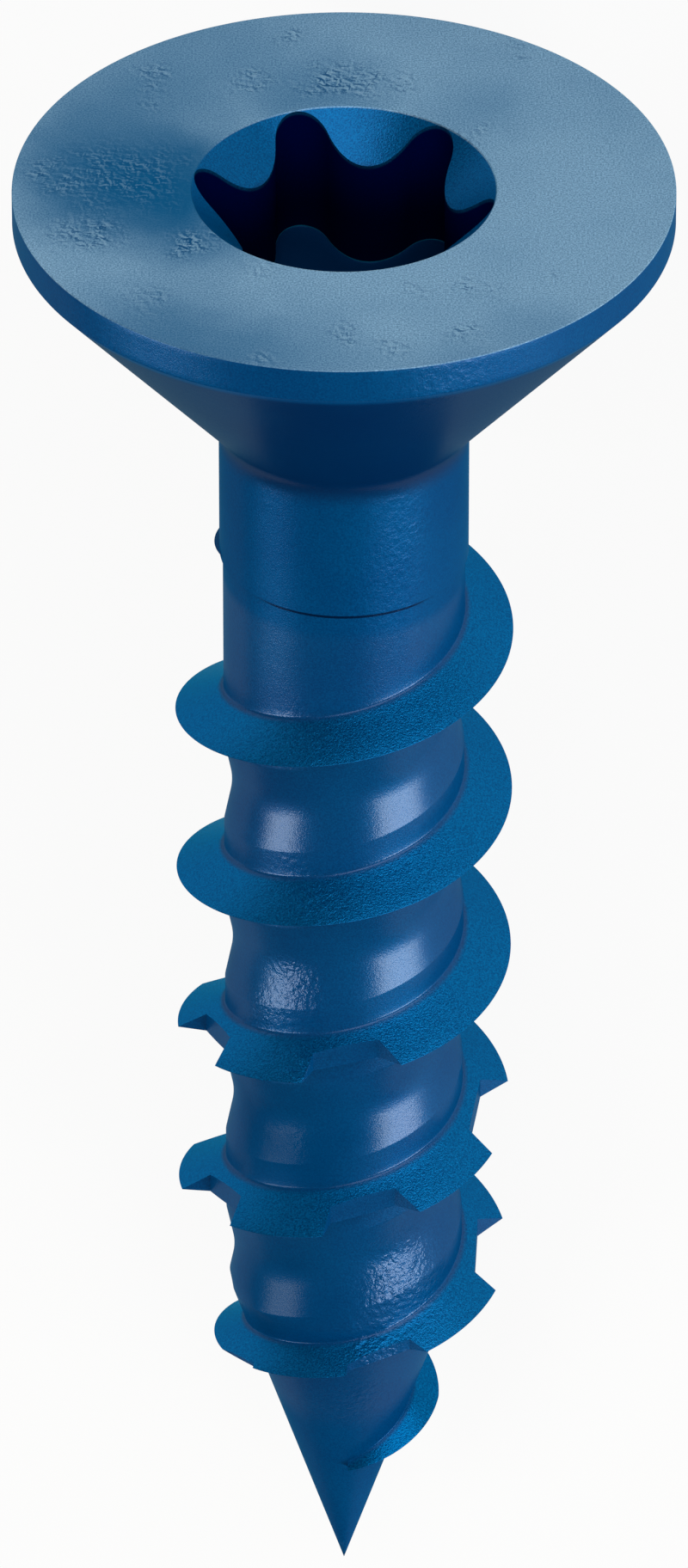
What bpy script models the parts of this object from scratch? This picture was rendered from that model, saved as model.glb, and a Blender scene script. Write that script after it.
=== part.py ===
"""A countersunk concrete screw with a six-lobe socket, built as one solid and laid down as it rests."""

import math

import bmesh
import bpy
from mathutils import Matrix, Vector

# Every length below is in metres.

# Head: a flat top, a short straight rim and a cone that runs into the shank.
HEAD_DIAMETER = 0.015
RIM_HEIGHT = 0.000815
HEAD_CONE_HALF_ANGLE = math.radians(40.5)
NECK_FILLET_RADIUS = 0.001
NECK_FILLET_STEPS = 4

# Shank: a plain neck, then a slightly thinner core that carries the thread and ends in a cone.
NECK_DIAMETER = 0.00572
NECK_DEPTH = 0.00976
CORE_DIAMETER = 0.005565
SCREW_LENGTH = 0.0391
TIP_HALF_ANGLE = math.radians(17.5)

# Socket: six round lobes, a countersunk mouth and a floor that dips to the middle.
SOCKET_ACROSS_LOBES = 0.00688
SOCKET_ACROSS_RIDGES = 0.00498
LOBE_TIP_RADIUS = 0.000654
LOBE_COUNT = 6
LOBE_TURN = math.radians(49.0)
ARC_STEPS = 8
MOUTH_MARGIN = 0.00002
SOCKET_DEPTH_AT_LOBES = 0.00313
SOCKET_FLOOR_SLOPE = math.radians(25.3)

# Thread: one right-hand start. Angles count round the axis and fall as the thread goes down.
THREAD_DIAMETER = 0.007816
PITCH = 0.004473
CREST_DEPTH_AT_ZERO = 0.012
UPPER_FLANK_ANGLE = math.radians(29.4)
LOWER_FLANK_ANGLE = math.radians(8.7)
RUN_IN_START = math.radians(205.0)
RUN_IN_END = math.radians(45.0)
TAPER_LENGTH = math.radians(446.0)
TAPER_KNEE_FROM_END = math.radians(88.5)
TAPER_KNEE_RADIUS = 0.002272
THREAD_END_RADIUS = 0.00142
THREAD_END_TO_TIP = 0.003667

# Core groove: a shallow rounded vee that follows the thread between one turn's crest and the next.
GROOVE_ABOVE_CREST = 0.001328
GROOVE_BELOW_CREST = 0.000843
GROOVE_SLOPE = math.radians(10.9)
GROOVE_BOTTOM_RADIUS = 0.00196
GROOVE_BOTTOM_STEPS = 2
GROOVE_START = math.radians(-200.0)
GROOVE_FULL = math.radians(-290.0)

# Saw notches: flat-floored cuts through the lower turns, evenly spaced, counted up from the end.
NOTCH_COUNT = 12
LAST_NOTCH_FROM_END = math.radians(301.7)
NOTCH_SPACING = math.radians(70.58)
NOTCH_FLOOR_RADIUS = 0.003135
NOTCH_LEADING_WIDTH = 0.000698
NOTCH_TRAILING_WIDTH = 0.000831
NOTCH_LEADING_SLOPE = math.radians(41.3)
NOTCH_TRAILING_SLOPE = math.radians(25.9)
NOTCH_CUT_HEIGHT = 0.0012
NOTCH_CUT_BELOW = 0.0006
NOTCH_CUT_ABOVE = 0.00095

# Rest: the screw lies on the rim of its head and on the two teeth beside this notch.
RESTING_NOTCH = 3

# Facets round the axis, how far a cutter stands clear of what it cuts, and when points are one.
FACETS = 84
CLEARANCE = 0.001
MERGE_DISTANCE = 0.00001

HEAD_RADIUS = HEAD_DIAMETER / 2
NECK_RADIUS = NECK_DIAMETER / 2
CORE_RADIUS = CORE_DIAMETER / 2
CREST_RADIUS = THREAD_DIAMETER / 2
LOBE_RADIUS = SOCKET_ACROSS_LOBES / 2
RIDGE_RADIUS = SOCKET_ACROSS_RIDGES / 2
MOUTH_RADIUS = LOBE_RADIUS + MOUTH_MARGIN
GROOVE_LOW_EDGE = GROOVE_ABOVE_CREST
GROOVE_HIGH_EDGE = PITCH - GROOVE_BELOW_CREST
FACET_ANGLE = 2 * math.pi / FACETS
THREAD_END_DEPTH = SCREW_LENGTH - THREAD_END_TO_TIP
THREAD_END = (CREST_DEPTH_AT_ZERO - THREAD_END_DEPTH) * 2 * math.pi / PITCH
TAPER_KNEE = THREAD_END + TAPER_KNEE_FROM_END
TAPER_START = THREAD_END + TAPER_LENGTH


def clear_scene():
    for obj in list(bpy.data.objects):
        bpy.data.objects.remove(obj, do_unlink=True)


def new_collection(name):
    collection = bpy.data.collections.new(name)
    bpy.context.scene.collection.children.link(collection)
    return collection


def lacquer():
    """The blue lacquer that covers the whole screw."""
    material = bpy.data.materials.new("blue_lacquer")
    material.use_nodes = True
    shader = material.node_tree.nodes["Principled BSDF"]
    shader.inputs["Base Color"].default_value = (0.002, 0.060, 0.205, 1.0)
    shader.inputs["Roughness"].default_value = 0.32
    shader.inputs["Metallic"].default_value = 0.0
    return material


def at(radius, angle, height):
    return Vector((radius * math.cos(angle), radius * math.sin(angle), height))


def crest_height(angle):
    return PITCH * angle / (2 * math.pi) - CREST_DEPTH_AT_ZERO


def crest_radius(angle):
    """Crest radius along the thread: it fades in, holds, then narrows to the tip."""
    stations = [
        (RUN_IN_START, CORE_RADIUS),
        (RUN_IN_END, CREST_RADIUS),
        (TAPER_START, CREST_RADIUS),
        (TAPER_KNEE, TAPER_KNEE_RADIUS),
        (THREAD_END, THREAD_END_RADIUS),
    ]
    for (angle_a, radius_a), (angle_b, radius_b) in zip(stations, stations[1:]):
        if angle >= angle_b:
            share = max(0, (angle_a - angle) / (angle_a - angle_b))
            return radius_a + (radius_b - radius_a) * share
    return THREAD_END_RADIUS


def notch_middle(index):
    return THREAD_END + LAST_NOTCH_FROM_END + index * NOTCH_SPACING


def notch_corner(side, width, slope):
    """Angle from the notch's middle to where its wall meets the full crest."""
    run = math.tan(slope)
    square = 1 + run * run
    half = NOTCH_FLOOR_RADIUS + run * width
    rest = NOTCH_FLOOR_RADIUS**2 + width**2 - CREST_RADIUS**2
    rise = (-half + math.sqrt(half * half - square * rest)) / square
    return side * math.atan2(width + run * rise, NOTCH_FLOOR_RADIUS + rise)


def resting_plane():
    """Direction round the axis that faces the ground, and the slope of the axis over it."""
    middle = notch_middle(RESTING_NOTCH)
    high = middle + notch_corner(1, NOTCH_LEADING_WIDTH, NOTCH_LEADING_SLOPE)
    low = middle + notch_corner(-1, NOTCH_TRAILING_WIDTH, NOTCH_TRAILING_SLOPE)
    rim = HEAD_RADIUS * math.cos(FACET_ANGLE / 2)

    def slope_to(corner, down):
        drop = rim - CREST_RADIUS * math.cos(down - corner)
        return drop / (-RIM_HEIGHT - crest_height(corner))

    low_side, high_side = low, high
    for _ in range(60):
        down = (low_side + high_side) / 2
        if slope_to(high, down) > slope_to(low, down):
            low_side = down
        else:
            high_side = down
    return down, math.atan(slope_to(high, down))


DOWN_ANGLE, REST_SLOPE = resting_plane()

# Facet lines of the head are turned so that one flat of the rim lies on the ground.
HEAD_PHASE = DOWN_ANGLE - FACET_ANGLE / 2

# Facet lines of the thread and the cutters run between those of the head.
TOOL_PHASE = DOWN_ANGLE


def lathe(name, profile, phase, collection, material):
    """A solid of revolution. Its profile runs down the outer side from top to bottom."""
    mesh = bpy.data.meshes.new(name)
    points = [at(radius, phase, height) for radius, height in profile]
    edges = [(index, index + 1) for index in range(len(points) - 1)]
    mesh.from_pydata(points, edges, [])
    mesh.materials.append(material)
    obj = bpy.data.objects.new(name, mesh)
    collection.objects.link(obj)
    spin = obj.modifiers.new("turn", "SCREW")
    spin.axis = "Z"
    spin.angle = 2 * math.pi
    spin.steps = FACETS
    spin.render_steps = FACETS
    spin.use_merge_vertices = True
    spin.merge_threshold = MERGE_DISTANCE
    spin.use_smooth_shade = True
    return obj


def object_from(bm, name, collection, material):
    mesh = bpy.data.meshes.new(name)
    bm.to_mesh(mesh)
    bm.free()
    mesh.materials.append(material)
    obj = bpy.data.objects.new(name, mesh)
    collection.objects.link(obj)
    return obj


def solid_from(name, loops, collection, material):
    """A closed solid lofted through loops of equal length, with flat ends."""
    bm = bmesh.new()
    rings = [[bm.verts.new(point) for point in loop] for loop in loops]
    for ring, after in zip(rings, rings[1:]):
        for index in range(len(ring)):
            following = (index + 1) % len(ring)
            bm.faces.new((ring[index], ring[following], after[following], after[index]))
    bm.faces.new(rings[0])
    bm.faces.new(rings[-1])
    bmesh.ops.recalc_face_normals(bm, faces=bm.faces[:])
    return object_from(bm, name, collection, material)


def neck_fillet():
    """Points of the round between the head's cone and the neck."""
    turn = HEAD_CONE_HALF_ANGLE
    reach = NECK_FILLET_RADIUS * math.tan(turn / 2)
    corner = -RIM_HEIGHT - (HEAD_RADIUS - NECK_RADIUS) / math.tan(turn)
    centre_radius = NECK_RADIUS + NECK_FILLET_RADIUS
    centre_height = corner - reach
    points = []
    for step in range(NECK_FILLET_STEPS + 1):
        angle = turn * (1 - step / NECK_FILLET_STEPS)
        radius = centre_radius - NECK_FILLET_RADIUS * math.cos(angle)
        points.append((radius, centre_height + NECK_FILLET_RADIUS * math.sin(angle)))
    return points


def head_profile():
    return [
        (0, 0),
        (HEAD_RADIUS, 0),
        (HEAD_RADIUS, -RIM_HEIGHT),
        *neck_fillet(),
        (NECK_RADIUS, -NECK_DEPTH),
        (0, -NECK_DEPTH),
    ]


def groove_stations(angle):
    """Radius and height of the groove's edges and rounded bottom above the crest at this angle."""
    middle = (GROOVE_LOW_EDGE + GROOVE_HIGH_EDGE) / 2
    half_width = (GROOVE_HIGH_EDGE - GROOVE_LOW_EDGE) / 2
    sharp_depth = half_width * math.tan(GROOVE_SLOPE)
    centre = CORE_RADIUS - sharp_depth + GROOVE_BOTTOM_RADIUS / math.cos(GROOVE_SLOPE)
    share = min(1, max(0, (GROOVE_START - angle) / (GROOVE_START - GROOVE_FULL)))
    base = crest_height(angle) + middle
    stations = [(CORE_RADIUS, base + half_width)]
    for step in range(GROOVE_BOTTOM_STEPS + 1):
        turn = GROOVE_SLOPE * (1 - 2 * step / GROOVE_BOTTOM_STEPS)
        depth = CORE_RADIUS - centre + GROOVE_BOTTOM_RADIUS * math.cos(turn)
        stations.append((CORE_RADIUS - share * depth, base + GROOVE_BOTTOM_RADIUS * math.sin(turn)))
    stations.append((CORE_RADIUS, base - half_width))
    return stations


def tip_radius(height):
    return (height + SCREW_LENGTH) * math.tan(TIP_HALF_ANGLE)


def upper_root(angle):
    """Height at which the upper flank meets the core, whether straight or tapering."""
    crest = crest_radius(angle)
    flank = math.tan(UPPER_FLANK_ANGLE)
    taper = math.tan(TIP_HALF_ANGLE)
    on_tip = tip_radius(crest_height(angle) + crest * flank) / (1 + flank * taper)
    return crest_height(angle) + (crest - min(CORE_RADIUS, on_tip)) * flank


def lower_root(angle):
    """Height at which the lower flank meets the core, whether straight or tapering."""
    crest = crest_radius(angle)
    flank = math.tan(LOWER_FLANK_ANGLE)
    taper = math.tan(TIP_HALF_ANGLE)
    on_tip = tip_radius(crest_height(angle) - crest * flank) / (1 - flank * taper)
    return crest_height(angle) - (crest - min(CORE_RADIUS, on_tip)) * flank


def core_chain(bm, angle, stations, ends):
    """Points down one facet line of the core, kept inside the tip's cone.

    Every second place is None, or a point where the core's surface crosses into the cone.
    """
    points = [ends[0]]
    for radius, height in stations:
        points.append(bm.verts.new(at(min(radius, tip_radius(height)), angle, height)))
    points.append(ends[1])
    heights = [ends[0].co.z, *[height for _, height in stations], ends[1].co.z]
    radii = [CORE_RADIUS, *[radius for radius, _ in stations], CORE_RADIUS]
    chain = [points[0]]
    for index in range(1, len(points)):
        proud_above = radii[index - 1] - tip_radius(heights[index - 1])
        proud_below = radii[index] - tip_radius(heights[index])
        crossing = None
        if proud_above * proud_below < 0:
            share = proud_above / (proud_above - proud_below)
            height = heights[index - 1] + share * (heights[index] - heights[index - 1])
            crossing = bm.verts.new(at(tip_radius(height), angle, height))
        chain += [crossing, points[index]]
    return chain


def join_chains(bm, left, right):
    """Faces between two neighbouring facet lines of the core."""
    for place in range(0, len(left) - 2, 2):
        down_left = [point for point in left[place : place + 3] if point]
        up_right = [point for point in reversed(right[place : place + 3]) if point]
        if len(down_left) == 3 and len(up_right) == 3:
            bm.faces.new((down_left[0], down_left[1], up_right[1], up_right[2]))
            bm.faces.new((down_left[1], down_left[2], up_right[0], up_right[1]))
        else:
            bm.faces.new(down_left + up_right)


def threaded_core(name, collection, material):
    """The core with its thread and groove, lofted along the thread from the neck to the tip."""
    first = math.ceil((RUN_IN_START - TOOL_PHASE) / FACET_ANGLE)
    last = math.ceil((THREAD_END - TOOL_PHASE) / FACET_ANGLE)
    angles = [TOOL_PHASE + step * FACET_ANGLE for step in range(first, last - 1, -1)]
    end = len(angles) - 1
    bm = bmesh.new()

    top = [bm.verts.new(at(CORE_RADIUS, angle, -NECK_DEPTH / 2)) for angle in angles[:FACETS]]
    start = bm.verts.new(at(CORE_RADIUS, angles[0], crest_height(angles[0])))
    upper, crest, lower = [start], [start], [start]
    for angle in angles[1:]:
        for edge, height in ((upper, upper_root(angle)), (lower, lower_root(angle))):
            edge.append(bm.verts.new(at(min(CORE_RADIUS, tip_radius(height)), angle, height)))
        crest.append(bm.verts.new(at(crest_radius(angle), angle, crest_height(angle))))
    tip = bm.verts.new((0, 0, -SCREW_LENGTH))

    chains = {}
    for step in range(FACETS, end + 1):
        ends = (lower[step - FACETS], upper[step])
        chains[step] = core_chain(bm, angles[step], groove_stations(angles[step]), ends)

    bm.faces.new(top)
    for step in range(FACETS - 1):
        bm.faces.new((top[step], upper[step], upper[step + 1], top[step + 1]))
    seam = [point for point in chains[FACETS] if point]
    bm.faces.new([top[-1], upper[FACETS - 1], *reversed(seam), top[0]])
    for step in range(FACETS, end):
        join_chains(bm, chains[step], chains[step + 1])

    bm.faces.new((start, crest[1], upper[1]))
    bm.faces.new((start, lower[1], crest[1]))
    for step in range(1, end):
        bm.faces.new((upper[step], crest[step], crest[step + 1], upper[step + 1]))
        bm.faces.new((crest[step], lower[step], lower[step + 1], crest[step + 1]))
    bm.faces.new((upper[end], crest[end], lower[end]))

    seam = [point for point in chains[end] if point]
    bm.faces.new([*seam, lower[end], tip, lower[end - FACETS + 1]])
    for step in range(end - FACETS + 1, end):
        bm.faces.new((lower[step], tip, lower[step + 1]))

    bmesh.ops.recalc_face_normals(bm, faces=bm.faces[:])
    bmesh.ops.triangulate(bm, faces=bm.faces[:])
    return object_from(bm, name, collection, material)


def notch_block(index):
    """Loops of one notch's cutter, from below the flange to above it."""
    middle = notch_middle(index)
    outward = Vector((math.cos(middle), math.sin(middle), 0))
    along = Vector((-math.sin(middle), math.cos(middle), 0))
    leading = NOTCH_LEADING_WIDTH + NOTCH_CUT_HEIGHT * math.tan(NOTCH_LEADING_SLOPE)
    trailing = NOTCH_TRAILING_WIDTH + NOTCH_CUT_HEIGHT * math.tan(NOTCH_TRAILING_SLOPE)
    top = NOTCH_FLOOR_RADIUS + NOTCH_CUT_HEIGHT
    outline = [
        (NOTCH_LEADING_WIDTH, NOTCH_FLOOR_RADIUS),
        (leading, top),
        (-trailing, top),
        (-NOTCH_TRAILING_WIDTH, NOTCH_FLOOR_RADIUS),
    ]
    loops = []
    for offset in (-NOTCH_CUT_BELOW, NOTCH_CUT_ABOVE):
        lift = Vector((0, 0, crest_height(middle) + offset))
        loops.append([outward * radius + along * width + lift for width, radius in outline])
    return loops


def socket_outline():
    """Points of the six-lobe outline: lobe arcs joined by tangent hollow arcs."""
    pitch = 2 * math.pi / LOBE_COUNT
    lobe_centre = LOBE_RADIUS - LOBE_TIP_RADIUS
    lean = math.cos(pitch / 2)
    top = RIDGE_RADIUS**2 + lobe_centre**2 - 2 * lobe_centre * lean * RIDGE_RADIUS - LOBE_TIP_RADIUS**2
    ridge_arc = top / (2 * LOBE_TIP_RADIUS - 2 * RIDGE_RADIUS + 2 * lobe_centre * lean)
    ridge_centre = RIDGE_RADIUS + ridge_arc
    across = ridge_centre * math.sin(pitch / 2)
    beyond = ridge_centre * lean - lobe_centre
    lobe_half = math.atan2(across, beyond)
    ridge_half = lobe_half - pitch / 2
    points = []
    for lobe in range(LOBE_COUNT):
        turn = LOBE_TURN + lobe * pitch
        for step in range(ARC_STEPS):
            angle = turn + lobe_half * (2 * step / ARC_STEPS - 1)
            points.append(at(lobe_centre, turn, 0) + at(LOBE_TIP_RADIUS, angle, 0))
        for step in range(ARC_STEPS):
            away = turn + pitch / 2
            angle = away + math.pi + ridge_half * (1 - 2 * step / ARC_STEPS)
            points.append(at(ridge_centre, away, 0) + at(ridge_arc, angle, 0))
    return points


def boolean(target, operation, tool):
    modifier = target.modifiers.new(tool.name, "BOOLEAN")
    modifier.operation = operation
    modifier.solver = "EXACT"
    modifier.object = tool
    return modifier


def join_solids(name, pieces, collection, material):
    """One object that holds several separate solids."""
    bm = bmesh.new()
    for piece in pieces:
        bm.from_mesh(piece.data)
        bpy.data.objects.remove(piece, do_unlink=True)
    return object_from(bm, name, collection, material)


def build_screw():
    parts = new_collection("concrete_screw")
    cutters = new_collection("cutters")
    blue = lacquer()
    screw = lathe("concrete_screw", head_profile(), HEAD_PHASE, parts, blue)
    core = threaded_core("threaded_core", cutters, blue)
    boolean(screw, "UNION", core)

    blocks = []
    for index in range(NOTCH_COUNT):
        blocks.append(solid_from(f"notch_{index}", notch_block(index), cutters, blue))
    notches = join_solids("saw_notches", blocks, cutters, blue)
    boolean(screw, "DIFFERENCE", notches)

    mouth_profile = [
        (0, CLEARANCE),
        (MOUTH_RADIUS + CLEARANCE, CLEARANCE),
        (0, -MOUTH_RADIUS),
    ]
    mouth = lathe("socket_mouth", mouth_profile, TOOL_PHASE, cutters, blue)
    boolean(screw, "DIFFERENCE", mouth)

    dip = LOBE_RADIUS + CLEARANCE
    edge_depth = SOCKET_DEPTH_AT_LOBES - CLEARANCE * math.tan(SOCKET_FLOOR_SLOPE)
    drill_profile = [
        (0, 2 * CLEARANCE),
        (dip, 2 * CLEARANCE),
        (dip, -edge_depth),
        (0, -edge_depth - dip * math.tan(SOCKET_FLOOR_SLOPE)),
    ]
    drill = lathe("socket_drill", drill_profile, TOOL_PHASE, cutters, blue)
    outline = socket_outline()
    socket_loops = []
    for height in (CLEARANCE, -2 * SOCKET_DEPTH_AT_LOBES):
        socket_loops.append([point + Vector((0, 0, height)) for point in outline])
    socket = solid_from("six_lobe_socket", socket_loops, cutters, blue)
    boolean(socket, "INTERSECT", drill)
    boolean(screw, "DIFFERENCE", socket)

    tools = [core, notches, mouth, drill, socket]
    for tool in tools:
        tool.parent = screw
        tool.hide_render = True
        tool.display_type = "WIRE"
    return screw


def lie_down(screw):
    """Turns the screw onto its rim and two teeth, tip towards +X, centred over the origin."""
    face_down = Matrix.Rotation(-math.pi / 2 - DOWN_ANGLE, 4, "Z")
    along_x = Matrix.Rotation(-math.pi / 2, 4, "Z") @ Matrix.Rotation(math.pi / 2, 4, "X")
    slope = Matrix.Rotation(REST_SLOPE, 4, "Y")
    screw.matrix_world = slope @ along_x @ face_down
    bpy.context.view_layer.update()
    graph = bpy.context.evaluated_depsgraph_get()
    shape = screw.evaluated_get(graph).to_mesh()
    points = [screw.matrix_world @ vertex.co for vertex in shape.vertices]
    low = [min(point[axis] for point in points) for axis in range(3)]
    high = [max(point[axis] for point in points) for axis in range(3)]
    shift = Vector((-(low[0] + high[0]) / 2, -(low[1] + high[1]) / 2, -low[2]))
    screw.matrix_world = Matrix.Translation(shift) @ screw.matrix_world


clear_scene()
lie_down(build_screw())
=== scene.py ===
"""Looks of the concrete screw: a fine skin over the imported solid, blue lacquer, a pale floor and soft lamps."""

import math

import bmesh
import bpy
from mathutils import Matrix, Vector


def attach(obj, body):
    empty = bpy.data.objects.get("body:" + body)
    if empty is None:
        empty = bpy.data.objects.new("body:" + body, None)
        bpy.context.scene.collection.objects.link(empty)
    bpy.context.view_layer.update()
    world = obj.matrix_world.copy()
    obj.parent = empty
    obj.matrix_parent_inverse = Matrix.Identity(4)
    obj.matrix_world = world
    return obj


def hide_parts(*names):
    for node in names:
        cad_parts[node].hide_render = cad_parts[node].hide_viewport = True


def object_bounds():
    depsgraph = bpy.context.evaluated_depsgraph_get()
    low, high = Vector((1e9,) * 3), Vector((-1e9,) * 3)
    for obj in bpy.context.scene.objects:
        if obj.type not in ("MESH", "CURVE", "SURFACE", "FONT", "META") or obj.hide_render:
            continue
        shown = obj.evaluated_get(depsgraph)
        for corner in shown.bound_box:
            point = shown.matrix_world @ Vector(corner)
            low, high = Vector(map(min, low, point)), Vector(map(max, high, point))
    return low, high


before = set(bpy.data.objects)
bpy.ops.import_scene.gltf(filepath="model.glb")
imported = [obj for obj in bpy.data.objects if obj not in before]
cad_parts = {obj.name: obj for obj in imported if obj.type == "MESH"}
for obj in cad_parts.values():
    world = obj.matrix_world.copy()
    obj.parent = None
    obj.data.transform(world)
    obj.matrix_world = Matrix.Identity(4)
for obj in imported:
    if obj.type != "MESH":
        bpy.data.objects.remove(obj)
cad_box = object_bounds()

MM = 0.001

# Sizes of the screw, the same as in the part's source.
HEAD_RADIUS = 7.5 * MM
RIM_HEIGHT = 0.815 * MM
HEAD_CONE_HALF_ANGLE = math.radians(40.5)
NECK_FILLET_RADIUS = 1.0 * MM
NECK_RADIUS = 2.86 * MM
NECK_DEPTH = 9.76 * MM
CORE_RADIUS = 2.7825 * MM
SCREW_LENGTH = 39.1 * MM
TIP_HALF_ANGLE = math.radians(17.5)
LOBE_RADIUS = 3.44 * MM
RIDGE_RADIUS = 2.49 * MM
LOBE_TIP_RADIUS = 0.654 * MM
LOBE_COUNT = 6
LOBE_TURN = math.radians(49.0)
MOUTH_RADIUS = LOBE_RADIUS + 0.02 * MM
SOCKET_DEPTH_AT_LOBES = 3.13 * MM
SOCKET_FLOOR_SLOPE = math.radians(25.3)
CREST_RADIUS = 3.908 * MM
PITCH = 4.473 * MM
CREST_DEPTH_AT_ZERO = 12.0 * MM
UPPER_FLANK_ANGLE = math.radians(29.4)
LOWER_FLANK_ANGLE = math.radians(8.7)
RUN_IN_START = math.radians(205.0)
RUN_IN_END = math.radians(45.0)
THREAD_END_TO_TIP = 3.667 * MM
THREAD_END = (CREST_DEPTH_AT_ZERO + THREAD_END_TO_TIP - SCREW_LENGTH) * 2 * math.pi / PITCH
THREAD_END_RADIUS = 1.42 * MM
TAPER_START = THREAD_END + math.radians(446.0)
TAPER_KNEE = THREAD_END + math.radians(88.5)
TAPER_KNEE_RADIUS = 2.272 * MM
GROOVE_LOW_EDGE = 1.328 * MM
GROOVE_HIGH_EDGE = PITCH - 0.843 * MM
GROOVE_SLOPE = math.radians(10.9)
GROOVE_BOTTOM_RADIUS = 1.96 * MM
GROOVE_START = math.radians(-200.0)
GROOVE_FULL = math.radians(-290.0)
NOTCH_COUNT = 12
LAST_NOTCH = THREAD_END + math.radians(301.7)
NOTCH_SPACING = math.radians(70.58)
NOTCH_FLOOR_RADIUS = 3.135 * MM
NOTCH_LEADING_WIDTH = 0.698 * MM
NOTCH_TRAILING_WIDTH = 0.831 * MM
NOTCH_LEADING_SLOPE = math.radians(41.3)
NOTCH_TRAILING_SLOPE = math.radians(25.9)
NOTCH_CUT_HEIGHT = 1.2 * MM
NOTCH_CUT_BELOW = 0.6 * MM
NOTCH_CUT_ABOVE = 0.95 * MM
RESTING_NOTCH = 3
CAD_FACETS = 84

# Fineness of the skin, and the small rounds that the plain solid leaves out.
COLUMNS = 288
ARC_STEPS = COLUMNS // (2 * LOBE_COUNT)
ROOT_ROUND = 0.055 * MM
CREST_ROUND = 0.022 * MM
RIM_ROUND = 0.035 * MM
CREASE = 0.018 * MM
GROOVE_STEPS = 8
SHARP_ANGLE = math.radians(34)


def at(radius, angle, height):
    return Vector((radius * math.cos(angle), radius * math.sin(angle), height))


def blend(low, high, count):
    """Evenly spaced shares of the way from low to high, without either end."""
    return [low + (high - low) * step / count for step in range(1, count)]


# The pose: the screw lies on its rim and two teeth, as in the part's source.
def crest_height(angle):
    return PITCH * angle / (2 * math.pi) - CREST_DEPTH_AT_ZERO


def crest_radius(angle):
    stations = [
        (RUN_IN_START, CORE_RADIUS),
        (RUN_IN_END, CREST_RADIUS),
        (TAPER_START, CREST_RADIUS),
        (TAPER_KNEE, TAPER_KNEE_RADIUS),
        (THREAD_END, THREAD_END_RADIUS),
    ]
    for (angle_a, radius_a), (angle_b, radius_b) in zip(stations, stations[1:]):
        if angle >= angle_b:
            share = max(0, (angle_a - angle) / (angle_a - angle_b))
            return radius_a + (radius_b - radius_a) * share
    return THREAD_END_RADIUS


def notch_middle(index):
    return LAST_NOTCH + index * NOTCH_SPACING


def notch_corner(side, width, slope):
    run = math.tan(slope)
    square = 1 + run * run
    half = NOTCH_FLOOR_RADIUS + run * width
    rest = NOTCH_FLOOR_RADIUS**2 + width**2 - CREST_RADIUS**2
    rise = (-half + math.sqrt(half * half - square * rest)) / square
    return side * math.atan2(width + run * rise, NOTCH_FLOOR_RADIUS + rise)


def resting_plane():
    """Direction round the axis that faces the ground, and the slope of the axis over it."""
    middle = notch_middle(RESTING_NOTCH)
    high = middle + notch_corner(1, NOTCH_LEADING_WIDTH, NOTCH_LEADING_SLOPE)
    low = middle + notch_corner(-1, NOTCH_TRAILING_WIDTH, NOTCH_TRAILING_SLOPE)
    rim = HEAD_RADIUS * math.cos(math.pi / CAD_FACETS)

    def slope_to(corner, down):
        return (rim - CREST_RADIUS * math.cos(down - corner)) / (-RIM_HEIGHT - crest_height(corner))

    low_side, high_side = low, high
    for _ in range(60):
        down = (low_side + high_side) / 2
        if slope_to(high, down) > slope_to(low, down):
            low_side = down
        else:
            high_side = down
    return down, math.atan(slope_to(high, down))


def resting_pose():
    """Matrix from the screw's own frame, head up at the origin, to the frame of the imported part."""
    down, slope = resting_plane()
    face_down = Matrix.Rotation(-math.pi / 2 - down, 4, "Z")
    along_x = Matrix.Rotation(-math.pi / 2, 4, "Z") @ Matrix.Rotation(math.pi / 2, 4, "X")
    turn = Matrix.Rotation(slope, 4, "Y") @ along_x @ face_down
    rim = turn @ at(HEAD_RADIUS * math.cos(math.pi / CAD_FACETS), down, -RIM_HEIGHT)
    tip = turn @ Vector((0, 0, -SCREW_LENGTH))
    return Matrix.Translation((cad_box[1][0] - tip.x, 0, -rim.z)) @ turn


POSE = resting_pose()


# The head, its socket and the neck: rows of points on facet lines shared by all of them.
def socket_outline():
    """Radius and angle of points on the six-lobe outline, in order round the axis."""
    pitch = 2 * math.pi / LOBE_COUNT
    lobe_centre = LOBE_RADIUS - LOBE_TIP_RADIUS
    lean = math.cos(pitch / 2)
    top = RIDGE_RADIUS**2 + lobe_centre**2 - 2 * lobe_centre * lean * RIDGE_RADIUS - LOBE_TIP_RADIUS**2
    ridge_arc = top / (2 * LOBE_TIP_RADIUS - 2 * RIDGE_RADIUS + 2 * lobe_centre * lean)
    ridge_centre = RIDGE_RADIUS + ridge_arc
    lobe_half = math.atan2(ridge_centre * math.sin(pitch / 2), ridge_centre * lean - lobe_centre)
    ridge_half = lobe_half - pitch / 2
    points = []
    for lobe in range(LOBE_COUNT):
        turn = LOBE_TURN + lobe * pitch
        for step in range(ARC_STEPS):
            angle = turn + lobe_half * (2 * step / ARC_STEPS - 1)
            points.append(at(lobe_centre, turn, 0) + at(LOBE_TIP_RADIUS, angle, 0))
        for step in range(ARC_STEPS):
            away = turn + pitch / 2
            angle = away + math.pi + ridge_half * (1 - 2 * step / ARC_STEPS)
            points.append(at(ridge_centre, away, 0) + at(ridge_arc, angle, 0))
    return [(point.length, math.atan2(point.y, point.x)) for point in points]


def floor_height(radius):
    return -SOCKET_DEPTH_AT_LOBES - (LOBE_RADIUS - radius) * math.tan(SOCKET_FLOOR_SLOPE)


def rounded(before, corner, after, reach, steps):
    """Points of a small round that replaces a corner of a profile."""
    towards_before = (before - corner).normalized() * reach
    towards_after = (after - corner).normalized() * reach
    points = []
    for step in range(steps + 1):
        share = step / steps
        points.append(corner + towards_before * (1 - share) ** 2 + towards_after * share**2)
    return points


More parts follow.
